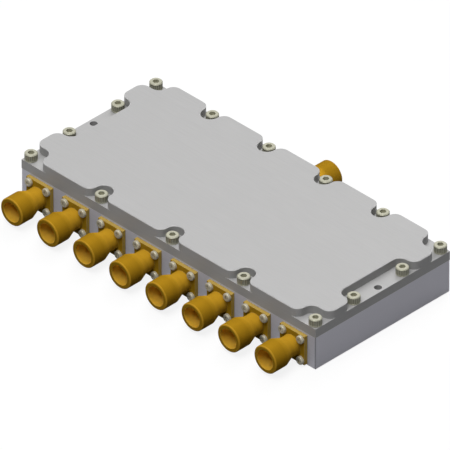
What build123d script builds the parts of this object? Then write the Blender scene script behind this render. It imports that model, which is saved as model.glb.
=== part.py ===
from build123d import *
from math import sqrt
import os

# Eight-way coaxial power splitter. Sizes are in millimetres.
# X runs along the box, Y from the output side to the input side, Z up.
# The origin is the middle of the housing's underside.
# The box is built around what it holds: its length and height follow from the row of jacks,
# and its width from the divider network on the board.

# Housing
wall = 5.5
cavity_corner = 4.0
end_margin = 4.05
flange_margin = 0.75
edge_break = 0.25

# Cover. Each screw stands in a pocket milled into the raised centre from the cover's edge.
# The corners of the pockets are as round as their depth allows, short of this straight.
cover_rim = 3.9
cover_rise = 3.7
pocket_depth = 7.25
pocket_straight = 0.05
corner_pocket_straight = 1.95
relief_wall = 2.35
relief_depth = 4.0

# Cover screws and the two mounting holes, all on one line inside the edge
screw_inset = 2.5
output_side_screws = 5
input_side_screws = 6
end_screw_spacing = 25.2
cover_head_diameter = 5.0
cover_head_height = 3.1
cover_hex_size = 2.25
cover_hex_turn = 45
cover_hex_depth = 1.5
cover_shank_diameter = 2.9
cover_screw_length = 10.0
cover_hole_diameter = 3.3
mount_hole_diameter = 3.0

# Jack body: square flange, neck, cone and barrel, one after the other
jack_pitch = 18.8
flange_thickness = 1.65
neck_length = 3.45
cone_length = 3.9
barrel_length = 6.6
barrel_diameter = 11.4
mouth_chamfer = 0.35
bore_diameter = 8.1
bore_depth = 8.4

# Flange screws. They set the flange's side, and the neck is turned down to clear their heads.
flange_screw_spacing = 9.25
flange_screw_inset = 1.725
flange_head_diameter = 3.4
flange_head_height = 1.2
flange_head_chamfer = 0.5
flange_shank_diameter = 2.0
flange_screw_length = 6.0
flange_hole_diameter = 2.3

# Insulator and centre contact. Seats are distances out from the housing's side face.
insulator_diameter = 6.4
insulator_seat = 1.0
tail_diameter = 4.1
stub_diameter = 4.6
stub_recess = 4.8
contact_diameter = 2.2
contact_seat = 3.0
contact_setback = 0.1
socket_diameter = 1.35
socket_depth = 4.5
socket_slot_width = 0.3
socket_slot_depth = 3.0
pin_diameter = 1.27
pin_reach = 2.6

# Circuit board, its copper and its resistors. Each stage of rings doubles the number of lines.
divider_stages = 3
board_thickness = 1.57
copper_thickness = 0.07
ring_radius = 4.75
arm_width = 1.6
line_width = 3.0
arm_gap = 1.2
stub_length = 3.6
bend_radius = 2.2
first_ring_from_edge = 8.6
last_ring_from_edge = 15.0
stage_pitch = 17.3
resistor_width = 1.25
resistor_height = 0.55
resistor_overlap = 0.45
resistor_drop = 1.6

# Board screws
board_head_diameter = 3.8
board_head_height = 1.3
board_shank_diameter = 2.0
board_screw_length = 4.6
board_hole_diameter = 2.3
upper_screws = 4
upper_screw_inset = 8.4
lower_screws = 3
lower_screw_inset = 5.0

# Clearances
slip = 0.05
solder_gap = 0.03
board_clearance = 0.3
head_clearance = 0.64
hole_tip = 0.8

# Jack sizes that follow. A station is a distance out from the housing's side face.
output_jacks = 2 ** divider_stages
flange_side = flange_screw_spacing + 2 * flange_screw_inset
neck_diameter = flange_screw_spacing * sqrt(2) - flange_head_diameter - 2 * head_clearance
neck_end = flange_thickness + neck_length
barrel_start = neck_end + cone_length
barrel_end = barrel_start + barrel_length
bore_floor = barrel_end - bore_depth
stub_end = barrel_end - stub_recess
contact_end = stub_end - contact_setback

# Box sizes that follow
board_width = first_ring_from_edge + stage_pitch * (divider_stages - 1) + last_ring_from_edge
box_length = jack_pitch * (output_jacks - 1) + flange_side + 2 * end_margin
box_width = board_width + 2 * (board_clearance + wall)
housing_height = flange_side + 2 * flange_margin
half_length = box_length / 2
half_width = box_width / 2
cavity_length = box_length - 2 * wall
cavity_width = box_width - 2 * wall
board_length = cavity_length - 2 * board_clearance
board_corner = cavity_corner - board_clearance

# Heights that follow
jack_height = housing_height / 2
pocket_floor = housing_height + cover_rim
copper_top = jack_height - pin_diameter / 2 - solder_gap
board_top = copper_top - copper_thickness
cavity_floor = board_top - board_thickness

# Cover sizes that follow
pocket_radius = (pocket_depth - pocket_straight) / 2
notch_width = 2 * pocket_radius + pocket_straight
corner_pocket_length = 2 * pocket_radius + corner_pocket_straight
end_pocket_length = end_screw_spacing + notch_width
relief_margin = pocket_depth + relief_wall


def spread(count, reach):
    """Evenly spaced places from -reach to +reach, or the middle for a single one."""
    return [reach * (2 * i / (count - 1) - 1) for i in range(count)] if count > 1 else [0]


# Places of the screws and the jacks
screw_x = half_length - screw_inset
screw_y = half_width - screw_inset
output_side_places = [(x, -screw_y) for x in spread(output_side_screws, screw_x)]
input_side_places = [(x, screw_y) for x in spread(input_side_screws, screw_x)]
end_places = [(x, y) for x in (-screw_x, screw_x) for y in spread(2, end_screw_spacing / 2)]
cover_screw_places = output_side_places + input_side_places + end_places
mount_places = [(-screw_x, 0), (screw_x, 0)]
output_places = spread(output_jacks, jack_pitch * (output_jacks - 1) / 2)


def jack_face(x, side):
    """The plane on the housing's side face at one jack's axis, facing out. Side is -1 or +1 in Y."""
    return Plane(origin=(x, side * half_width, jack_height), x_dir=(-side, 0, 0), z_dir=(0, side, 0))


def section_plane(face):
    """The plane through a jack's axis: its X is the radius and its Y the station."""
    return Plane(origin=face.origin, x_dir=face.x_dir, z_dir=-face.y_dir)


def jack_axis(face):
    return Axis(face.origin, face.z_dir)


jacks = {f"output_{i + 1}": jack_face(x, -1) for i, x in enumerate(output_places)}
jacks["input"] = jack_face(0, 1)


def at_height(places, z):
    return [(x, y, z) for x, y in places]


def turned_section(face, outline):
    """Half section of a turned piece, from a stepped outline of (radius, station) points."""
    first, last = outline[0], outline[-1]
    with BuildSketch(section_plane(face)) as section:
        with BuildLine():
            Polyline((0, first[1]), *outline, (0, last[1]), close=True)
        make_face()
    return section.sketch


# Divider network: stages of rings, each ring feeding two outputs half as far apart as the last.
# Each ring is a quarter-wave arm on the left and on the right, with a resistor across their ends.
first_ring_y = board_width / 2 - first_ring_from_edge


def ring_spacing(stage):
    """How far each output of a ring in this stage lies from the ring's centre, along X."""
    return jack_pitch * 2 ** (divider_stages - 1 - stage) / 2


def ring_places(stage):
    """The centres of the rings in one stage."""
    count = 2 ** stage
    reach = ring_spacing(stage) * 2 * (count - 1)
    return [(x, first_ring_y - stage * stage_pitch) for x in spread(count, reach)]


rings = [(stage, x, y) for stage in range(divider_stages) for x, y in ring_places(stage)]

# Board screws stand clear of the copper: one row beside the input, and one between the outputs
upper_reach = board_length / 2 - upper_screw_inset
lower_screw_y = lower_screw_inset - board_width / 2
upper_places = [(x, first_ring_y) for x in spread(upper_screws, upper_reach)]
lower_places = [(x, lower_screw_y) for x in spread(lower_screws, ring_spacing(0))]
board_screw_places = upper_places + lower_places

# Housing
with BuildPart() as housing:
    with BuildSketch():
        Rectangle(box_length, box_width)
    extrude(amount=housing_height)
    chamfer(housing.edges().filter_by(Axis.Z) + housing.edges().group_by(Axis.Z)[0], edge_break)
    with BuildSketch(Plane.XY.offset(cavity_floor)):
        RectangleRounded(cavity_length, cavity_width, cavity_corner)
    extrude(amount=housing_height - cavity_floor, mode=Mode.SUBTRACT)
    with Locations(*at_height(cover_screw_places, housing_height)):
        Hole(cover_shank_diameter / 2 + slip, cover_screw_length - cover_rim + hole_tip)
    with Locations(*at_height(mount_places, housing_height)):
        Hole(mount_hole_diameter / 2)
    with Locations(*at_height(board_screw_places, cavity_floor)):
        Hole(board_shank_diameter / 2 + slip, board_screw_length - board_thickness + hole_tip)
    for face in jacks.values():
        with BuildSketch(face):
            Circle(tail_diameter / 2 + slip)
        extrude(amount=-wall, mode=Mode.SUBTRACT)
        with BuildSketch(face):
            with GridLocations(flange_screw_spacing, flange_screw_spacing, 2, 2):
                Circle(flange_shank_diameter / 2 + slip)
        extrude(amount=flange_thickness - flange_screw_length - slip, mode=Mode.SUBTRACT)
housing.part.label = "housing"

# Cover
with BuildPart() as cover:
    with BuildSketch(Plane.XY.offset(housing_height)):
        Rectangle(box_length, box_width)
    extrude(amount=cover_rim)
    with BuildSketch(Plane.XY.offset(pocket_floor)) as raised_centre:
        Rectangle(box_length, box_width)
        with GridLocations(box_length, box_width, 2, 2):
            Rectangle(2 * corner_pocket_length, 2 * pocket_depth, mode=Mode.SUBTRACT)
        with GridLocations(box_length, 0, 2, 1):
            Rectangle(2 * pocket_depth, end_pocket_length, mode=Mode.SUBTRACT)
        for places in (output_side_places, input_side_places):
            for x, y in places[1:-1]:
                with Locations((x, half_width if y > 0 else -half_width)):
                    Rectangle(notch_width, 2 * pocket_depth, mode=Mode.SUBTRACT)
        fillet(raised_centre.vertices(), pocket_radius)
    extrude(amount=cover_rise)
    chamfer(cover.faces().sort_by(Axis.Z)[-1].edges(), edge_break)
    with BuildSketch(Plane.XY.offset(housing_height)):
        RectangleRounded(box_length - 2 * relief_margin, box_width - 2 * relief_margin, cavity_corner)
    extrude(amount=relief_depth, mode=Mode.SUBTRACT)
    with Locations(*at_height(cover_screw_places, pocket_floor)):
        Hole(cover_hole_diameter / 2, cover_rim)
    with Locations(*at_height(mount_places, pocket_floor)):
        Hole(mount_hole_diameter / 2, cover_rim)
cover.part.label = "cover"

# Cover screws
with BuildPart() as cover_screws:
    with BuildSketch(Plane.XY.offset(pocket_floor)):
        with Locations(*cover_screw_places):
            Circle(cover_head_diameter / 2)
    extrude(amount=cover_head_height)
    chamfer(cover_screws.edges().group_by(Axis.Z)[-1], edge_break)
    with BuildSketch(Plane.XY.offset(pocket_floor + cover_head_height)):
        with Locations(*cover_screw_places):
            RegularPolygon(cover_hex_size / 2, 6, major_radius=False, rotation=cover_hex_turn)
    extrude(amount=-cover_hex_depth, mode=Mode.SUBTRACT)
    with BuildSketch(Plane.XY.offset(pocket_floor)):
        with Locations(*cover_screw_places):
            Circle(cover_shank_diameter / 2)
    extrude(amount=-cover_screw_length)
cover_screws.part.label = "cover_screws"

# Flange screws
with BuildPart() as flange_screws:
    for face in jacks.values():
        with BuildSketch(face.offset(flange_thickness)):
            with GridLocations(flange_screw_spacing, flange_screw_spacing, 2, 2):
                Circle(flange_shank_diameter / 2)
        extrude(amount=-flange_screw_length)
        with BuildSketch(face.offset(flange_thickness)):
            with GridLocations(flange_screw_spacing, flange_screw_spacing, 2, 2):
                Circle(flange_head_diameter / 2)
        extrude(amount=flange_head_height)
    head_rims = flange_screws.edges().group_by(Axis.Y)
    chamfer(head_rims[0] + head_rims[-1], flange_head_chamfer)
flange_screws.part.label = "flange_screws"


def make_jack_body(face):
    """Square flange, neck, cone and barrel, bored from the mouth and stepped down for the insulator."""
    outside = turned_section(face, [
        (neck_diameter / 2, flange_thickness),
        (neck_diameter / 2, neck_end),
        (barrel_diameter / 2, barrel_start),
        (barrel_diameter / 2, barrel_end - mouth_chamfer),
        (barrel_diameter / 2 - mouth_chamfer, barrel_end),
    ])
    inside = turned_section(face, [
        (tail_diameter / 2 + slip, 0),
        (tail_diameter / 2 + slip, insulator_seat),
        (insulator_diameter / 2 + slip, insulator_seat),
        (insulator_diameter / 2 + slip, bore_floor),
        (bore_diameter / 2, bore_floor),
        (bore_diameter / 2, barrel_end),
    ])
    with BuildPart() as jack_body:
        with BuildSketch(face):
            Rectangle(flange_side, flange_side)
        extrude(amount=flange_thickness)
        revolve(outside, axis=jack_axis(face))
        revolve(inside, axis=jack_axis(face), mode=Mode.SUBTRACT)
        with BuildSketch(face):
            with GridLocations(flange_screw_spacing, flange_screw_spacing, 2, 2):
                Circle(flange_hole_diameter / 2)
        extrude(amount=flange_thickness, mode=Mode.SUBTRACT)
    return jack_body.part


def make_insulator(face):
    """White bush from the stub inside the bore back to the cavity, drilled for the contact."""
    outside = turned_section(face, [
        (tail_diameter / 2, -wall),
        (tail_diameter / 2, insulator_seat),
        (insulator_diameter / 2, insulator_seat),
        (insulator_diameter / 2, bore_floor),
        (stub_diameter / 2, bore_floor),
        (stub_diameter / 2, stub_end),
    ])
    inside = turned_section(face, [
        (pin_diameter / 2 + slip, -wall),
        (pin_diameter / 2 + slip, contact_seat),
        (contact_diameter / 2 + slip, contact_seat),
        (contact_diameter / 2 + slip, stub_end),
    ])
    with BuildPart() as insulator:
        revolve(outside, axis=jack_axis(face))
        revolve(inside, axis=jack_axis(face), mode=Mode.SUBTRACT)
    return insulator.part


def make_contact(face):
    """Solder pin at the cavity end, slotted socket at the mating end."""
    outside = turned_section(face, [
        (pin_diameter / 2, -wall - pin_reach),
        (pin_diameter / 2, contact_seat),
        (contact_diameter / 2, contact_seat),
        (contact_diameter / 2, contact_end),
    ])
    with BuildPart() as contact:
        revolve(outside, axis=jack_axis(face))
        with BuildSketch(face.offset(contact_end)):
            Circle(socket_diameter / 2)
        extrude(amount=-socket_depth, mode=Mode.SUBTRACT)
        with BuildSketch(face.offset(contact_end)):
            Rectangle(2 * contact_diameter, socket_slot_width)
            Rectangle(socket_slot_width, 2 * contact_diameter)
        extrude(amount=-socket_slot_depth, mode=Mode.SUBTRACT)
    return contact.part


# Circuit board laminate
with BuildPart() as circuit_board:
    with BuildSketch(Plane.XY.offset(cavity_floor)):
        RectangleRounded(board_length, board_width, board_corner)
    extrude(amount=board_thickness)
    with Locations(*at_height(board_screw_places, board_top)):
        Hole(board_hole_diameter / 2)
circuit_board.part.label = "circuit_board"

# Etched copper: the input line, then every ring with its two output lines
with BuildPart() as divider_copper:
    with BuildSketch(Plane.XY.offset(board_top)):
        with BuildLine():
            Line((0, board_width / 2), (0, first_ring_y + ring_radius))
        trace(line_width=line_width)
        for stage, x, y in rings:
            stub_x = (arm_gap + line_width) / 2
            stub_y = y - sqrt(ring_radius ** 2 - stub_x ** 2)
            bus_y = y - ring_radius - stub_length
            end_y = y - stage_pitch + ring_radius if stage < divider_stages - 1 else -board_width / 2
            for side in (-1, 1):
                with BuildLine():
                    RadiusArc((x, y + ring_radius), (x + side * ring_radius, y), side * ring_radius)
                    RadiusArc((x + side * ring_radius, y), (x + side * stub_x, stub_y), side * ring_radius)
                trace(line_width=arm_width)
                with BuildLine():
                    FilletPolyline(
                        (x + side * stub_x, stub_y),
                        (x + side * stub_x, bus_y),
                        (x + side * ring_spacing(stage), bus_y),
                        (x + side * ring_spacing(stage), end_y),
                        radius=bend_radius,
                    )
                trace(line_width=line_width)
    extrude(amount=copper_thickness)
divider_copper.part.label = "divider_copper"

# Board screws
with BuildPart() as board_screws:
    with BuildSketch(Plane.XY.offset(board_top)):
        with Locations(*board_screw_places):
            Circle(board_head_diameter / 2)
    extrude(amount=board_head_height)
    chamfer(board_screws.edges().group_by(Axis.Z)[-1], edge_break)
    with BuildSketch(Plane.XY.offset(board_top)):
        with Locations(*board_screw_places):
            Circle(board_shank_diameter / 2)
    extrude(amount=-board_screw_length)
board_screws.part.label = "board_screws"


def make_resistor(x, y):
    """Chip resistor across the gap between the two arms of one ring."""
    with BuildPart() as resistor:
        with BuildSketch(Plane.XY.offset(copper_top)):
            with Locations((x, y - ring_radius - resistor_drop)):
                Rectangle(arm_gap + 2 * resistor_overlap, resistor_width)
        extrude(amount=resistor_height)
    return resistor.part


pieces = [housing.part, cover.part, cover_screws.part, flange_screws.part]
pieces += [circuit_board.part, divider_copper.part, board_screws.part]
for name, face in jacks.items():
    jack_body, insulator, contact = make_jack_body(face), make_insulator(face), make_contact(face)
    jack_body.label = f"{name}_jack"
    insulator.label = f"{name}_insulator"
    contact.label = f"{name}_contact"
    pieces += [jack_body, insulator, contact]
for number, (stage, x, y) in enumerate(rings, start=1):
    resistor = make_resistor(x, y)
    resistor.label = f"resistor_{number}"
    pieces.append(resistor)

os.makedirs("parts", exist_ok=True)
for piece in pieces:
    export_step(piece, f"parts/{piece.label}.step")
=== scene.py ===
from math import cos, pi, radians, sin

import bmesh
import bpy
from mathutils import Matrix, Vector


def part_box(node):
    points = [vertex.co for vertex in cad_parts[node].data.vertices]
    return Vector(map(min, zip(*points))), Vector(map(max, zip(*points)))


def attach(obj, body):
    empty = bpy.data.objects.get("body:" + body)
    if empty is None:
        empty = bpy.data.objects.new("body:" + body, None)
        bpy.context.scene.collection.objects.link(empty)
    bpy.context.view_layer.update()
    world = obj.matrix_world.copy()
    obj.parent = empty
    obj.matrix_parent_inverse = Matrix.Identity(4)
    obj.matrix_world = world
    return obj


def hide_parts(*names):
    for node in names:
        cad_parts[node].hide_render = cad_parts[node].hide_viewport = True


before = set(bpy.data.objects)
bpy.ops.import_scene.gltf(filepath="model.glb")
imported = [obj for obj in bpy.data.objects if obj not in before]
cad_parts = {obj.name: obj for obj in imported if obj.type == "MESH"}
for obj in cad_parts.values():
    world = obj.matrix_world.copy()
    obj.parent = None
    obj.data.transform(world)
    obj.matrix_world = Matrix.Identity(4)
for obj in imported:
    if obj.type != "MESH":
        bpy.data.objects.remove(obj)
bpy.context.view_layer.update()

# Eight-way coaxial power splitter: a milled box with a notched cover, nine gold jacks and their screws.
# Everything is in metres, in the CAD's own frame; mm turns a size in millimetres into metres.
mm = 0.001

# Jack body, as radii and as stations out from the housing's side face
flange_thickness = 1.65 * mm
neck_radius = 4.2 * mm
neck_end = 5.1 * mm
barrel_start = 9.0 * mm
barrel_radius = 5.7 * mm
barrel_end = 15.6 * mm
mouth_chamfer = 0.35 * mm
bore_radius = 4.05 * mm
bore_floor = 7.2 * mm
seat_radius = 3.25 * mm
seat_station = 1.0 * mm
tail_radius = 2.1 * mm
neck_overlap = 0.2 * mm
jack_rounding = 0.12 * mm
jack_steps = 96

# Both kinds of screw; the thread's depth is a share of its pitch
thread_depth = 0.6
screw_steps = 32

# Flange screws, four round each jack
flange_screw_spacing = 9.25 * mm
flange_hole_radius = 1.15 * mm
pan_radius = 1.7 * mm
pan_height = 1.2 * mm
pan_rim = 0.65 * mm
pan_face_radius = 1.3 * mm
pan_face_rise = 0.05 * mm
pan_centre_radius = 0.15 * mm
pan_shoulder_steps = 6
flange_shank_radius = 1.0 * mm
flange_screw_length = 6.0 * mm
flange_thread_pitch = 0.4 * mm
recess_length = 1.9 * mm
recess_width = 0.45 * mm
recess_depth = 0.55 * mm

# Cover screws
output_side_screws = 5
input_side_screws = 6
end_screw_spacing = 25.2 * mm
head_radius = 2.5 * mm
head_height = 3.1 * mm
head_chamfer = 0.3 * mm
head_foot_chamfer = 0.1 * mm
knurl_depth = 0.2 * mm
knurl_margin = 0.35 * mm
knurl_run_out = 0.1 * mm
knurl_flutes = 18
hex_size = 2.25 * mm
hex_depth = 1.5 * mm
hex_turn = radians(45)
drill_tip_radius = 0.1 * mm
cover_shank_radius = 1.45 * mm
cover_screw_length = 10.0 * mm
cover_thread_pitch = 0.5 * mm

# Angles between faces: edges above the first are rounded, and faces below the others look smooth
rounded_above = radians(14)
jack_smooth_below = radians(12)
screw_smooth_below = radians(25)
weld_distance = 0.001 * mm

# Places that follow from the frame
box_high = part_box("housing")[1]
half_length, half_width = box_high.x, box_high.y
jack_height = box_high.z / 2
flange_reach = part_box("output_1_jack")[1].z - jack_height
cover_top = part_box("cover")[1].z
pocket_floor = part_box("cover_screws")[1].z - head_height
screw_x = half_length - head_radius
screw_y = half_width - head_radius
jack_names = sorted(name.removesuffix("_jack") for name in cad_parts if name.endswith("_jack"))


def start_clean():
    """Leaves edit mode and selects nothing, so that the next primitive is alone."""
    if bpy.context.object and bpy.context.object.mode != "OBJECT":
        bpy.ops.object.mode_set(mode="OBJECT")
    bpy.ops.object.select_all(action="DESELECT")


def settle(piece, name):
    """Names a finished piece and moves its place into its mesh."""
    start_clean()
    piece.name = name
    piece.data.name = name
    piece.select_set(True)
    bpy.context.view_layer.objects.active = piece
    bpy.ops.object.transform_apply(location=True, rotation=True, scale=True)
    return piece


def turn(name, outline, steps):
    """Turned piece: a ring at the first (radius, station) is pulled on to each of the others.
    An outline that ends where it starts is closed like a tube; any other is capped at both ends."""
    start_clean()
    radius, station = outline[0]
    bpy.ops.mesh.primitive_circle_add(vertices=steps, radius=radius, location=(0, 0, station))
    piece = bpy.context.object
    closed = outline[0] == outline[-1]
    bpy.ops.object.mode_set(mode="EDIT")
    bpy.ops.mesh.select_all(action="SELECT")
    if not closed:
        bpy.ops.mesh.edge_face_add()
        bpy.ops.mesh.select_all(action="SELECT")
    for next_radius, next_station in outline[1:]:
        bpy.ops.mesh.extrude_region_move(
            TRANSFORM_OT_translate={"value": (0, 0, next_station - station)})
        growth = next_radius / radius
        bpy.ops.transform.resize(value=(growth, growth, 1), center_override=(0, 0, next_station))
        radius, station = next_radius, next_station
    bpy.ops.mesh.select_all(action="SELECT")
    bpy.ops.mesh.remove_doubles(threshold=weld_distance)
    bpy.ops.mesh.normals_make_consistent(inside=False)
    bpy.ops.object.mode_set(mode="OBJECT")
    return settle(piece, name)


def block(name, size, centre):
    """Rectangular bar or plate, the start of a flange or a blade."""
    start_clean()
    bpy.ops.mesh.primitive_cube_add(size=1, location=centre, scale=size)
    return settle(bpy.context.object, name)


def soften(piece, width, segments=2):
    """Rounds the sharp edges of a piece."""
    start_clean()
    bpy.context.view_layer.objects.active = piece
    bpy.ops.object.mode_set(mode="EDIT")
    bpy.ops.mesh.select_mode(type="EDGE")
    bpy.ops.mesh.select_all(action="DESELECT")
    sketch = bmesh.from_edit_mesh(piece.data)
    for edge in sketch.edges:
        edge.select = edge.is_manifold and edge.calc_face_angle() > rounded_above
    sketch.select_flush_mode()
    bmesh.update_edit_mesh(piece.data)
    bpy.ops.mesh.bevel(offset=width, segments=segments, affect="EDGES")
    start_clean()
    return piece


def shape(piece, tool, operation="DIFFERENCE"):
    """Cuts a tool out of a piece, or joins it on."""
    modifier = piece.modifiers.new(operation, "BOOLEAN")
    modifier.operation = operation
    modifier.object = tool
    start_clean()
    bpy.context.view_layer.objects.active = piece
    bpy.ops.object.modifier_apply(modifier=modifier.name)
    bpy.data.objects.remove(tool)
    return piece


def smooth(piece, angle):
    """Shades a piece smooth, except at edges sharper than the angle."""
    start_clean()
    piece.select_set(True)
    bpy.context.view_layer.objects.active = piece
    bpy.ops.object.shade_smooth_by_angle(angle=angle)
    start_clean()
    return piece


def note_turning(piece):
    """Stores each point's distance from the axis and its station, in millimetres, for the finishes."""
    turned = piece.data.attributes.new("turned", "FLOAT_VECTOR", "POINT")
    for point, value in zip(piece.data.vertices, turned.data):
        value.vector = (point.co.xy.length / mm, point.co.z / mm, 0)
    return piece


def drill(name, radius, steps):
    """Rod that cuts a hole through a flange."""
    return turn(name, [(radius, -flange_thickness), (radius, 2 * flange_thickness)], steps)


def thread(radius, pitch, tip, top):
    """Ridges of a screw thread, from its tip up to the station where it ends."""
    root = radius - thread_depth * pitch
    outline = [(root, tip)]
    station = tip + pitch / 2
    while station + pitch < top:
        outline += [(radius, station), (root, station + pitch / 2)]
        station += pitch
    return outline + [(radius, top - pitch / 2)]


def flange_corners():
    """Places of the four screws, seen along the jack's axis."""
    reach = flange_screw_spacing / 2
    return [(x, y) for x in (-reach, reach) for y in (-reach, reach)]


def make_jack():
    """Flange, neck, cone and bored barrel. Its axis is Z and the housing's face is at zero."""
    body = soften(turn("jack", [
        (tail_radius, 0),
        (neck_radius, 0),
        (neck_radius, neck_end),
        (barrel_radius, barrel_start),
        (barrel_radius, barrel_end - mouth_chamfer),
        (barrel_radius - mouth_chamfer, barrel_end),
        (bore_radius, barrel_end),
        (bore_radius, bore_floor),
        (seat_radius, bore_floor),
        (seat_radius, seat_station),
        (tail_radius, seat_station),
        (tail_radius, 0),
    ], jack_steps), jack_rounding)
    low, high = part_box("output_1_jack")
    side = high.x - low.x
    flange = block("flange", (side, side, flange_thickness), (0, 0, flange_thickness / 2))
    soften(flange, jack_rounding)
    shape(flange, drill("bore", neck_radius - neck_overlap, jack_steps))
    for x, y in flange_corners():
        hole = drill("hole", flange_hole_radius, screw_steps)
        hole.data.transform(Matrix.Translation((x, y, 0)))
        shape(flange, hole)
    shape(body, flange, "UNION")
    return note_turning(smooth(body, jack_smooth_below))


def make_flange_screw():
    """Pan head screw with a cross recess. The flange's face is at zero."""
    depth = pan_radius - pan_face_radius
    rise = pan_height - pan_rim - pan_face_rise
    quarter = [pi / 2 * i / pan_shoulder_steps for i in range(pan_shoulder_steps + 1)]
    shoulder = [(pan_face_radius + depth * cos(angle), pan_rim + rise * sin(angle)) for angle in quarter]
    screw = turn("flange_screw", [
        *thread(flange_shank_radius, flange_thread_pitch, -flange_screw_length, 0),
        (flange_shank_radius, 0),
        (pan_radius, 0),
        *shoulder,
        (pan_centre_radius, pan_height),
    ], screw_steps)
    for length, width in ((recess_length, recess_width), (recess_width, recess_length)):
        blade = block("blade", (length, width, 2 * recess_depth), (0, 0, pan_height))
        shape(screw, blade)
    return note_turning(smooth(screw, screw_smooth_below))


def make_cover_screw():
    """Socket head screw with a knurled head. The pocket's floor is at zero."""
    knurl_end = head_height - knurl_margin
    screw = turn("cover_screw", [
        *thread(cover_shank_radius, cover_thread_pitch, -cover_screw_length, 0),
        (cover_shank_radius, 0),
        (head_radius - head_foot_chamfer, 0),
        (head_radius, head_foot_chamfer),
        (head_radius, knurl_margin),
        (head_radius, knurl_margin + knurl_run_out),
        (head_radius, knurl_end - knurl_run_out),
        (head_radius, knurl_end),
        (head_radius, head_height - head_chamfer),
        (head_radius - head_chamfer, head_height),
    ], 2 * knurl_flutes)
    for point in screw.data.vertices:
        flute = round(point.co.xy.angle_signed(Vector((1, 0))) / (pi / knurl_flutes)) % 2
        knurled = knurl_margin + knurl_run_out / 2 < point.co.z < knurl_end - knurl_run_out / 2
        if flute and knurled:
            point.co.xy *= 1 - knurl_depth / head_radius
    hex_corner = hex_size / 2 / cos(pi / 6)
    socket = turn("socket", [
        (drill_tip_radius, head_height - hex_depth - hex_size / 4),
        (hex_corner, head_height - hex_depth),
        (hex_corner, head_height + hex_depth),
    ], 6)
    socket.data.transform(Matrix.Rotation(hex_turn - pi / 2, 4, "Z"))
    shape(screw, socket)
    return note_turning(smooth(screw, screw_smooth_below))


def place(master, name, matrix):
    """A copy of a piece with its own mesh, with its place in the mesh."""
    mesh = master.data.copy()
    mesh.name = name
    mesh.transform(matrix)
    piece = bpy.data.objects.new(name, mesh)
    bpy.context.collection.objects.link(piece)
    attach(piece, "root")
    return piece


def jack_matrix(name):
    """Takes a jack's own axes to its place: out of the side face that the CAD jack stands on."""
    low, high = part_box(f"{name}_jack")
    middle = (low + high) / 2
    side = 1 if middle.y > 0 else -1
    axes = Matrix(((-side, 0, 0), (0, 0, side), (0, 1, 0))).to_4x4()
    return Matrix.Translation((middle.x, side * half_width, middle.z)) @ axes


def spread(count, reach):
    """Evenly spaced places, from the reach on one side to the reach on the other."""
    return [reach * (2 * i / (count - 1) - 1) for i in range(count)]


def cover_screw_places():
    """Where the cover's screws stand: along both long sides and at both ends."""
    rows = [(x, -screw_y) for x in spread(output_side_screws, screw_x)]
    rows += [(x, screw_y) for x in spread(input_side_screws, screw_x)]
    return rows + [(x, y) for x in (-screw_x, screw_x) for y in spread(2, end_screw_spacing / 2)]


# Shader helpers: a number or colour that they are given may also be a socket


def feed(tree, target, value):
    """Links a socket to the target, or writes a plain value there."""
    if isinstance(value, bpy.types.NodeSocket):
        tree.links.new(value, target)
    else:
        target.default_value = value


def maths(tree, operation, first, second=0.0, clamp=False):
    """One step of arithmetic on two values."""
    node = tree.nodes.new("ShaderNodeMath")
    node.operation = operation
    node.use_clamp = clamp
    feed(tree, node.inputs[0], first)
    feed(tree, node.inputs[1], second)
    return node.outputs[0]


def meet(tree, first, second):
    """Mask of the places where two masks meet."""
    return maths(tree, "MULTIPLY", first, second)


def object_point(tree, stretch=(1, 1, 1)):
    """Object coordinates in millimetres, stretched along the axes."""
    coordinates = tree.nodes.new("ShaderNodeTexCoord")
    mapping = tree.nodes.new("ShaderNodeMapping")
    mapping.inputs["Scale"].default_value = [s / mm for s in stretch]
    tree.links.new(coordinates.outputs["Object"], mapping.inputs["Vector"])
    return mapping.outputs["Vector"]


def apart(tree, vector):
    """The three parts of a vector."""
    parts = tree.nodes.new("ShaderNodeSeparateXYZ")
    tree.links.new(vector, parts.inputs["Vector"])
    return [parts.outputs[axis] for axis in "XYZ"]


def turned_place(tree):
    """A turned piece's stored distance from the axis and station, in millimetres."""
    way = tree.nodes.new("ShaderNodeAttribute")
    way.attribute_name = "turned"
    return apart(tree, way.outputs["Vector"])[:2]


def noise(tree, vector, scale, detail=2.0):
    """Cloudy noise about a half; the scale counts its patches in a millimetre."""
    node = tree.nodes.new("ShaderNodeTexNoise")
    tree.links.new(vector, node.inputs["Vector"])
    feed(tree, node.inputs["Scale"], scale)
    node.inputs["Detail"].default_value = detail
    return node.outputs["Fac"]


def blend_colours(tree, factor, first, second):
    """The first colour where the factor is 0, the second where it is 1."""
    node = tree.nodes.new("ShaderNodeMix")
    node.data_type = "RGBA"
    feed(tree, node.inputs["Factor"], factor)
    for target, colour in ((node.inputs["A"], first), (node.inputs["B"], second)):
        plain = not isinstance(colour, bpy.types.NodeSocket)
        feed(tree, target, (*colour, 1) if plain else colour)
    return node.outputs["Result"]


def scaled(tree, colour, factor):
    """A colour times a factor."""
    node = tree.nodes.new("ShaderNodeVectorMath")
    node.operation = "SCALE"
    feed(tree, node.inputs[0], colour)
    tree.links.new(factor, node.inputs["Scale"])
    return node.outputs["Vector"]


def fade_in(tree, value, start, end):
    """Mask that rises from 0 at the start to 1 at the end. Both are in metres, the value in millimetres."""
    node = tree.nodes.new("ShaderNodeMapRange")
    feed(tree, node.inputs["Value"], value)
    node.inputs["From Min"].default_value = start / mm
    node.inputs["From Max"].default_value = end / mm
    return node.outputs["Result"]


def between(tree, factor, low, high):
    """A value that runs from low to high with the factor."""
    node = tree.nodes.new("ShaderNodeMapRange")
    feed(tree, node.inputs["Value"], factor)
    node.inputs["To Min"].default_value = low
    node.inputs["To Max"].default_value = high
    return node.outputs["Result"]


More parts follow.
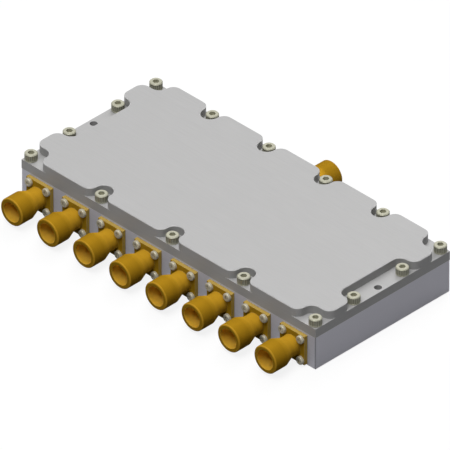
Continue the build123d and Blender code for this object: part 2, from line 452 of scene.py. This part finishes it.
def shade_of(colour, factor):
    """A plain colour made darker or lighter."""
    return [min(1.0, channel * factor) for channel in colour]


def blend_shades(tree, factor, colour, shares):
    """A plain colour that runs between two shades of itself."""
    return blend_colours(tree, factor, *[shade_of(colour, share) for share in shares])


def light_path(tree, ray):
    """Mask of the light that comes by one kind of ray."""
    return tree.nodes.new("ShaderNodeLightPath").outputs[ray]


def new_group(name, inputs, outputs):
    """Shader group with numbers going in and masks coming out."""
    group = bpy.data.node_groups.new(name, "ShaderNodeTree")
    for label, value in inputs:
        group.interface.new_socket(label, in_out="INPUT", socket_type="NodeSocketFloat").default_value = value
    for label in outputs:
        group.interface.new_socket(label, in_out="OUTPUT", socket_type="NodeSocketFloat")
    return group, group.nodes.new("NodeGroupInput"), group.nodes.new("NodeGroupOutput")


def use_group(tree, group, **values):
    """Places a shader group in a material, with its own values."""
    node = tree.nodes.new("ShaderNodeGroup")
    node.node_tree = group
    for label, value in values.items():
        feed(tree, node.inputs[label], value)
    return node


def new_material(name, metallic, specular):
    """A material with a plain shader in it."""
    material = bpy.data.materials.new(name)
    material.use_nodes = True
    shader = material.node_tree.nodes["Principled BSDF"]
    shader.inputs["Metallic"].default_value = metallic
    shader.inputs["Specular IOR Level"].default_value = specular
    return material, material.node_tree, shader


def bumped(tree, shader, height, strength, depth):
    """Gives a shader's surface the relief of a height."""
    bump = tree.nodes.new("ShaderNodeBump")
    bump.inputs["Strength"].default_value = strength
    bump.inputs["Distance"].default_value = depth
    tree.links.new(height, bump.inputs["Height"])
    tree.links.new(bump.outputs["Normal"], shader.inputs["Normal"])


def relief(tree, shader, marks, grain, grain_share):
    """Relief of tool marks, with the grain more faintly on top."""
    height = maths(tree, "ADD", marks, maths(tree, "MULTIPLY", grain, grain_share))
    bumped(tree, shader, height, mark_strength, mark_depth)


# Shader groups that the finishes share


def make_edge_wear_and_highlight(least=0.55, patches=0.8):
    """Mask of the edges, a little uneven along their length, where wear and a painted highlight brighten
    them.
    """
    group, given, made = new_group("edge_wear_and_highlight", [("Width", 0.2 * mm), ("Gain", 3.4)], ["Mask"])
    bevel = group.nodes.new("ShaderNodeBevel")
    bevel.samples = 4
    group.links.new(given.outputs["Width"], bevel.inputs["Radius"])
    geometry = group.nodes.new("ShaderNodeNewGeometry")
    dot = group.nodes.new("ShaderNodeVectorMath")
    dot.operation = "DOT_PRODUCT"
    group.links.new(bevel.outputs["Normal"], dot.inputs[0])
    group.links.new(geometry.outputs["Normal"], dot.inputs[1])
    turned_away = maths(group, "SUBTRACT", 1.0, dot.outputs["Value"])
    edge = maths(group, "MULTIPLY", turned_away, given.outputs["Gain"], clamp=True)
    uneven = maths(group, "ADD", least, noise(group, object_point(group), patches), clamp=True)
    group.links.new(meet(group, edge, uneven), made.inputs["Mask"])
    return group


def make_fine_grain(speckle_detail=3.0, clouds=0.06):
    """Fine speckle and broad cloudiness of a metal or moulded surface, both about a half."""
    group, given, made = new_group("fine_grain", [("Size", 0.15)], ["Grain", "Cloud"])
    point = object_point(group)
    fineness = maths(group, "DIVIDE", 1.0, given.outputs["Size"])
    group.links.new(noise(group, point, fineness, speckle_detail), made.inputs["Grain"])
    group.links.new(noise(group, point, clouds), made.inputs["Cloud"])
    return group


def make_mill_marks(stretch=0.02):
    """Fine parallel cutter lines along the box."""
    group, given, made = new_group("mill_marks", [("Pitch", 0.25)], ["Lines"])
    fineness = maths(group, "DIVIDE", 1.0, given.outputs["Pitch"])
    group.links.new(noise(group, object_point(group, (stretch, 1, 1)), fineness), made.inputs["Lines"])
    return group


def make_turning_marks():
    """Fine rings left by the lathe, spaced along the way that the tool went."""
    group, given, made = new_group("turning_marks", [("Way", 0.0), ("Pitch", 0.12)], ["Rings"])
    rings = group.nodes.new("ShaderNodeTexNoise")
    rings.noise_dimensions = "1D"
    rings.inputs["Scale"].default_value = 1.0
    rings.inputs["Detail"].default_value = 2.0
    group.links.new(maths(group, "DIVIDE", given.outputs["Way"], given.outputs["Pitch"]), rings.inputs["W"])
    group.links.new(rings.outputs["Fac"], made.inputs["Rings"])
    return group


edge_wear_and_highlight = make_edge_wear_and_highlight()
fine_grain = make_fine_grain()
mill_marks = make_mill_marks()
turning_marks = make_turning_marks()

# Margins and steps of the masks that follow a piece's own sizes
hair = 0.01 * mm
margin = 0.05 * mm
step = 0.1 * mm
edge_break = 0.25 * mm

# Shades of the finishes, as shares of a piece's own colour; the edge shades are wear and a painted highlight
milled_cloud_shades = 0.97, 1.03
cutter_line_shade = 0.88
milled_edge_shade = 1.35
turned_cloud_shades = 0.96, 1.04
turned_edge_shade = 1.3
ring_shade_change = 0.14
# The knurl's grooves are painted darker, as painted shade
knurl_groove_painted_shade = 0.55
plain_grain_shades = 0.9, 1.08
plain_edge_shade = 1.25

# Gloss and relief of the marks
metal_specular = 0.25
gloss_change = 0.08
ring_gloss_change = 0.06
ring_pitch = 0.12
mark_strength = 0.4
plain_strength = 0.3
mark_depth = 0.01 * mm

# Gold: where its tones run into each other, the bore's painted light growing with depth, and its roughness
# off the barrel and on it
cone_fade = barrel_start - 1.5 * mm, barrel_start + 1.0 * mm
mouth_fade = barrel_end - 1.0 * mm, barrel_end - 3.5 * mm
gold_roughness = 0.3, 0.45

# Shares of the thrown light: what milled metal keeps of it, and what turns grey on gold
milled_throw = 0.5
gold_grey_throw = 0.8


def corner_line(tree):
    """Mask of the housing's broken upright corners, where a line of shade is painted."""
    x, y = apart(tree, object_point(tree))[:2]
    reach = maths(tree, "ADD", maths(tree, "ABSOLUTE", x), maths(tree, "ABSOLUTE", y))
    corner = half_length + half_width - edge_break
    return fade_in(tree, reach, corner - step, corner - margin)


def brow_line(tree):
    """Mask of the broken edge round the cover's raised centre, where a highlight is painted."""
    z = apart(tree, object_point(tree))[2]
    above = fade_in(tree, z, cover_top - edge_break - margin, cover_top - edge_break)
    below = fade_in(tree, z, cover_top - hair, cover_top - 3 * hair)
    return meet(tree, above, below)


def milled(name, colour, metallic, roughness, painted_edge, painted_edge_shade):
    """Milled aluminium: cutter lines, fine grain, edges a little brighter from wear and a painted highlight,
    and its broken edge painted in its own shade. It throws only half of its light on its neighbours."""
    material, tree, shader = new_material(name, metallic, metal_specular)
    lines = use_group(tree, mill_marks, Pitch=0.25).outputs["Lines"]
    grain = use_group(tree, fine_grain, Size=0.12)
    wear_and_highlight = use_group(tree, edge_wear_and_highlight, Width=0.22 * mm).outputs["Mask"]
    body = blend_shades(tree, grain.outputs["Cloud"], colour, milled_cloud_shades)
    body = blend_colours(tree, lines, shade_of(colour, cutter_line_shade), body)
    body = blend_colours(tree, wear_and_highlight, body, shade_of(colour, milled_edge_shade))
    body = blend_colours(tree, painted_edge(tree), body, shade_of(colour, painted_edge_shade))
    kept = between(tree, light_path(tree, "Is Diffuse Ray"), 1.0, milled_throw)
    tree.links.new(scaled(tree, body, kept), shader.inputs["Base Color"])
    gloss = between(tree, lines, roughness + gloss_change, roughness - gloss_change)
    tree.links.new(gloss, shader.inputs["Roughness"])
    relief(tree, shader, lines, grain.outputs["Grain"], grain_share=0.5)
    return material


def finish_turning(tree, shader, colour, edge_colour, roughness):
    """Lathe rings, fine grain and edges brightened by wear and a painted highlight, on a colour and a
    roughness that may change over the piece.
    """
    radius, station = turned_place(tree)
    way = maths(tree, "ADD", radius, station)
    rings = use_group(tree, turning_marks, Way=way, Pitch=ring_pitch).outputs["Rings"]
    grain = use_group(tree, fine_grain, Size=0.1)
    wear_and_highlight = use_group(tree, edge_wear_and_highlight, Width=0.15 * mm).outputs["Mask"]
    cloud = between(tree, grain.outputs["Cloud"], *turned_cloud_shades)
    shade = maths(tree, "ADD", between(tree, rings, -ring_shade_change, ring_shade_change), cloud)
    body = scaled(tree, colour, shade)
    tree.links.new(blend_colours(tree, wear_and_highlight, body, edge_colour), shader.inputs["Base Color"])
    gloss = maths(tree, "ADD", between(tree, rings, ring_gloss_change, -ring_gloss_change), roughness)
    tree.links.new(gloss, shader.inputs["Roughness"])
    relief(tree, shader, rings, grain.outputs["Grain"], grain_share=0.4)


def turned_steel(name, colour, metallic, roughness):
    """Turned steel: lathe rings, fine grain, and edges softly brightened by wear and a painted highlight."""
    material, tree, shader = new_material(name, metallic, metal_specular)
    finish_turning(tree, shader, colour, shade_of(colour, turned_edge_shade), roughness)
    return material


def knurled_steel(name, colour, metallic, roughness):
    """Turned steel, with shade painted dark into the grooves of the knurl."""
    material, tree, shader = new_material(name, metallic, metal_specular)
    radius, station = turned_place(tree)
    root = head_radius - knurl_depth
    top = head_height - knurl_margin
    sunk = fade_in(tree, radius, head_radius, root)
    outside = fade_in(tree, radius, root - 2 * step, root - step)
    above = fade_in(tree, station, knurl_margin, knurl_margin + step)
    below = fade_in(tree, station, top, top - step)
    groove = meet(tree, meet(tree, sunk, outside), meet(tree, above, below))
    body = blend_colours(tree, groove, colour, shade_of(colour, knurl_groove_painted_shade))
    finish_turning(tree, shader, body, shade_of(colour, turned_edge_shade), roughness)
    return material


def gold_plate(name, tones, metallic):
    """Gold plating, each part of the jack in its own tone. The flange's sides are painted lighter, the
    mouth's rim gets a painted highlight, and the bore is painted lighter, more so with depth, where its shade
    falls.
    Outside the bore, most of the light that it throws on its neighbours is grey."""
    material, tree, shader = new_material(name, metallic, specular=0.0)
    radius, station = turned_place(tree)
    beyond_flange = fade_in(tree, station, flange_thickness, flange_thickness + step)
    beyond_cone = fade_in(tree, station, *cone_fade)
    beyond_seat = fade_in(tree, station, bore_floor - step, bore_floor)
    near_axis = fade_in(tree, radius, bore_radius + step, bore_radius + 2 * hair)
    painted_light_with_depth = fade_in(tree, station, *mouth_fade)
    far_out = fade_in(tree, radius, flange_reach - margin - step, flange_reach - margin)
    below_face = fade_in(tree, station, flange_thickness - 2 * hair, flange_thickness - step)
    rim_reach = barrel_radius + barrel_end - mouth_chamfer
    on_rim_highlight = fade_in(tree, maths(tree, "ADD", radius, station), rim_reach - 2 * step, rim_reach - margin)
    in_bore = meet(tree, beyond_seat, near_axis)
    # Painted light: the flange's sides lighter than its face
    colour = blend_colours(tree, meet(tree, far_out, below_face), tones["flange"], tones["flange_sides_painted_light"])
    colour = blend_colours(tree, beyond_flange, colour, tones["neck"])
    colour = blend_colours(tree, beyond_cone, colour, tones["barrel"])
    # Painted light: the bore lighter than the neck, and lighter still with depth, where its shade falls
    colour = blend_colours(tree, in_bore, colour, blend_colours(tree, painted_light_with_depth, tones["mouth"], tones["bore"]))
    # Painted highlight on the chamfer round the mouth
    colour = blend_colours(tree, on_rim_highlight, colour, tones["rim_highlight"])
    outside = maths(tree, "SUBTRACT", 1.0, in_bore)
    thrown = meet(tree, light_path(tree, "Is Diffuse Ray"), outside)
    colour = blend_colours(tree, maths(tree, "MULTIPLY", thrown, gold_grey_throw), colour, tones["thrown"])
    roughness = between(tree, meet(tree, beyond_cone, outside), *gold_roughness)
    finish_turning(tree, shader, colour, tones["edges"], roughness)
    return material


def plain_finish(name, colour, metallic, roughness, grain_size, depth=mark_depth):
    """Small inner pieces: fine grain in the colour, the gloss and the surface."""
    material, tree, shader = new_material(name, metallic, specular=0.5)
    grain = use_group(tree, fine_grain, Size=grain_size).outputs["Grain"]
    wear_and_highlight = use_group(tree, edge_wear_and_highlight, Width=0.1 * mm).outputs["Mask"]
    body = blend_shades(tree, grain, colour, plain_grain_shades)
    # Edges brighter from wear and a painted highlight
    body = blend_colours(tree, wear_and_highlight, body, shade_of(colour, plain_edge_shade))
    tree.links.new(body, shader.inputs["Base Color"])
    gloss = between(tree, grain, roughness + gloss_change, roughness - gloss_change)
    tree.links.new(gloss, shader.inputs["Roughness"])
    bumped(tree, shader, grain, plain_strength, depth)
    return material


# The finishes of all pieces
gold_tones = {
    "flange": (0.50, 0.28, 0.015),
    # Painted light: the flange's sides lighter than its face
    "flange_sides_painted_light": (0.66, 0.45, 0.11),
    "neck": (0.70, 0.38, 0.025),
    "barrel": (0.44, 0.235, 0.012),
    # Painted highlight on the chamfer round the mouth
    "rim_highlight": (0.62, 0.34, 0.025),
    # Painted light in the bore, lighter with depth
    "mouth": (0.84, 0.50, 0.05),
    "bore": (1.0, 0.64, 0.08),
    # Pale edges from wear and a painted highlight
    "edges": (0.80, 0.58, 0.22),
    "thrown": (0.2, 0.2, 0.2),
}
# Painted shade down the housing's corners, and a painted highlight round the cover's brow
housing_finish = milled("housing_aluminium", (0.85, 0.84, 0.92), metallic=0.12, roughness=0.45,
                        painted_edge=corner_line, painted_edge_shade=0.42)
cover_finish = milled("cover_aluminium", (0.525, 0.52, 0.515), metallic=0.05, roughness=0.45,
                      painted_edge=brow_line, painted_edge_shade=1.3)
gold_finish = gold_plate("jack_gold", gold_tones, metallic=0.05)
head_finish = knurled_steel("cover_screw_steel", (0.46, 0.45, 0.345), metallic=0.12, roughness=0.35)
pan_finish = turned_steel("flange_screw_steel", (0.66, 0.61, 0.46), metallic=0.12, roughness=0.3)
ptfe_finish = plain_finish("white_ptfe", (0.85, 0.85, 0.82), metallic=0.0, roughness=0.45, grain_size=0.3)
laminate_finish = plain_finish("woven_laminate", (0.62, 0.58, 0.42), metallic=0.0, roughness=0.55,
                               grain_size=0.4, depth=2 * mark_depth)
copper_finish = plain_finish("etched_copper", (0.70, 0.36, 0.20), metallic=0.9, roughness=0.35,
                             grain_size=0.2)
contact_finish = plain_finish("contact_gold", (0.80, 0.50, 0.12), metallic=0.9, roughness=0.3,
                              grain_size=0.2)
board_screw_finish = plain_finish("board_screw_steel", (0.5, 0.5, 0.48), metallic=0.9, roughness=0.35,
                                  grain_size=0.15)
ceramic_finish = plain_finish("resistor_ceramic", (0.03, 0.03, 0.035), metallic=0.0, roughness=0.35,
                              grain_size=0.1)


def finish_node(node, material):
    """Gives a CAD node its material through its own slots."""
    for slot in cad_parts[node].material_slots:
        slot.material = material


def finish_piece(piece, material):
    """Gives a modelled piece its material."""
    piece.data.materials.clear()
    piece.data.materials.append(material)


# Pieces modelled here: each kind is made once and copied to its places
jack = make_jack()
flange_screw = make_flange_screw()
cover_screw = make_cover_screw()

pan_number = 0
for name in jack_names:
    matrix = jack_matrix(name)
    body = place(jack, f"{name}_jack_body", matrix)
    finish_piece(body, gold_finish)
    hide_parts(f"{name}_jack")
    for x, y in flange_corners():
        pan_number += 1
        pan = place(flange_screw, f"flange_screw_{pan_number}",
                    matrix @ Matrix.Translation((x, y, flange_thickness)))
        finish_piece(pan, pan_finish)
        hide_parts("flange_screws")
for number, (x, y) in enumerate(cover_screw_places(), start=1):
    screw = place(cover_screw, f"cover_screw_{number}", Matrix.Translation((x, y, pocket_floor)))
    finish_piece(screw, head_finish)
    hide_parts("cover_screws")
for master in (jack, flange_screw, cover_screw):
    bpy.data.objects.remove(master)

# Pieces kept from the CAD
finish_node("housing", housing_finish)
finish_node("cover", cover_finish)
finish_node("circuit_board", laminate_finish)
finish_node("divider_copper", copper_finish)
finish_node("board_screws", board_screw_finish)
for name in jack_names:
    finish_node(f"{name}_insulator", ptfe_finish)
    finish_node(f"{name}_contact", contact_finish)
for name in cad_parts:
    if name.startswith("resistor_"):
        finish_node(name, ceramic_finish)

# Floor: the light that it throws and its own glow, towards the pieces, the camera and mirrors
floor_size = 20
floor_drop = 0.02 * mm
floor_albedo = 0.1
floor_albedo_seen = 0.07
floor_albedo_mirrored = 0.75
floor_glow_seen = 0.86
floor_glow_mirrored = 0.1

# Surround: the light where it isn't seen or mirrored
sky_colour = (0.85, 0.9, 1.0)
sky_strength = 0.08
white = (1, 1, 1)

# Camera: the long lens is far off, so that the view is nearly parallel
camera_lens = 1700
camera_distance = 7.7968
camera_target = Vector((-1.8238, -3.4074, 9.9164)) * mm
camera_reach = 20


def make_floor():
    """Large pale floor. It looks white and keeps a faint shadow, and lights the sides only a little."""
    start_clean()
    bpy.ops.mesh.primitive_plane_add(size=floor_size, location=(0, 0, -floor_drop))
    floor = settle(bpy.context.object, "floor")
    material = bpy.data.materials.new("pale_floor")
    material.use_nodes = True
    tree = material.node_tree
    tree.nodes.remove(tree.nodes["Principled BSDF"])
    output = tree.nodes["Material Output"]
    seen = maths(tree, "MAXIMUM", light_path(tree, "Is Camera Ray"), light_path(tree, "Is Transmission Ray"))
    mirrored = light_path(tree, "Is Glossy Ray")
    albedo = maths(tree, "ADD", floor_albedo, maths(tree, "MULTIPLY", seen, floor_albedo_seen))
    albedo = maths(tree, "ADD", albedo, maths(tree, "MULTIPLY", mirrored, floor_albedo_mirrored))
    glow = maths(tree, "MULTIPLY", seen, floor_glow_seen)
    glow = maths(tree, "ADD", glow, maths(tree, "MULTIPLY", mirrored, floor_glow_mirrored))
    diffuse = tree.nodes.new("ShaderNodeBsdfDiffuse")
    tree.links.new(albedo, diffuse.inputs["Color"])
    emission = tree.nodes.new("ShaderNodeEmission")
    tree.links.new(glow, emission.inputs["Strength"])
    both = tree.nodes.new("ShaderNodeAddShader")
    tree.links.new(diffuse.outputs[0], both.inputs[0])
    tree.links.new(emission.outputs[0], both.inputs[1])
    tree.links.new(both.outputs[0], output.inputs["Surface"])
    floor.data.materials.append(material)


def make_surround():
    """World: white where it is seen or mirrored, and a low, cool, even light otherwise."""
    world = bpy.data.worlds.new("studio")
    bpy.context.scene.world = world
    world.use_nodes = True
    tree = world.node_tree
    seen = maths(tree, "MAXIMUM", light_path(tree, "Is Camera Ray"), light_path(tree, "Is Transmission Ray"))
    seen = maths(tree, "MAXIMUM", seen, light_path(tree, "Is Glossy Ray"))
    background = tree.nodes["Background"]
    tree.links.new(blend_colours(tree, seen, sky_colour, white), background.inputs["Color"])
    tree.links.new(between(tree, seen, sky_strength, 1.0), background.inputs["Strength"])


def soft_light(name, place, size, level):
    """Square lamp aimed at the box; level is the brightness of a white card there, facing it."""
    lamp = bpy.data.lights.new(name, "AREA")
    lamp.size = size
    way = -Vector(place)
    lamp.energy = level * pi ** 2 * way.length_squared
    light = bpy.data.objects.new(name, lamp)
    light.location = place
    light.rotation_euler = way.to_track_quat("-Z", "Y").to_euler()
    bpy.context.collection.objects.link(light)


def make_camera():
    """Isometric view from above the front right corner."""
    camera = bpy.data.cameras.new("camera")
    camera.lens = camera_lens
    camera.clip_end = camera_reach
    eye = bpy.data.objects.new("camera", camera)
    bpy.context.collection.objects.link(eye)
    back = Vector((1, -1, 1)).normalized()
    eye.location = camera_target + back * camera_distance
    eye.rotation_euler = (-back).to_track_quat("-Z", "Y").to_euler()
    bpy.context.scene.camera = eye


make_floor()
make_surround()
soft_light("overhead", place=(0, 0.1, 1.5), size=1.0, level=0.26)
soft_light("front", place=(0.2, -0.62, 1.35), size=0.8, level=0.5)
soft_light("back", place=(-0.45, 0.85, 1.1), size=0.8, level=0.28)
make_camera()
bpy.context.scene.view_settings.view_transform = "Standard"
